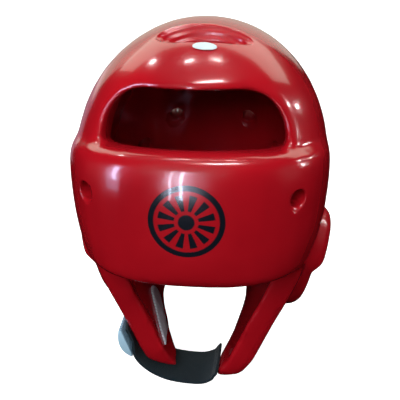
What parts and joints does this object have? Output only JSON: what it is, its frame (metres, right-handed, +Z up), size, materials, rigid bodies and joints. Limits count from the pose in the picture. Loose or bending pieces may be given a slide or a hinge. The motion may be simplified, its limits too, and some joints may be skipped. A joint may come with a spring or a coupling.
{
  "type": "taekwondo headgear",
  "caption": "Red dipped-foam taekwondo headgear with a brow bumper, vision window, vented crown, ear guards, cheek flaps and an elastic chin strap.",
  "frame": {"origin": "where the top of the head meets the inside of the crown", "axes": "+Z up, the wearer faces -Y, the wearer's left is +X"},
  "size_m": [0.2186, 0.249, 0.2981],
  "materials": {
    "dipped_foam": "glossy vinyl skin over closed-cell foam",
    "elastic_webbing": "woven elastic",
    "closure_tab": "hook and loop tape",
    "fleece": "brushed loop fabric",
    "label_paper": "coated paper"
  },
  "bodies": {
    "root": {"foam_shell": "dipped_foam", "chin_strap": "elastic_webbing", "closure_tape": "closure_tab", "inner_patch": "fleece", "crown_label": "label_paper"}
  },
  "joints": []
}
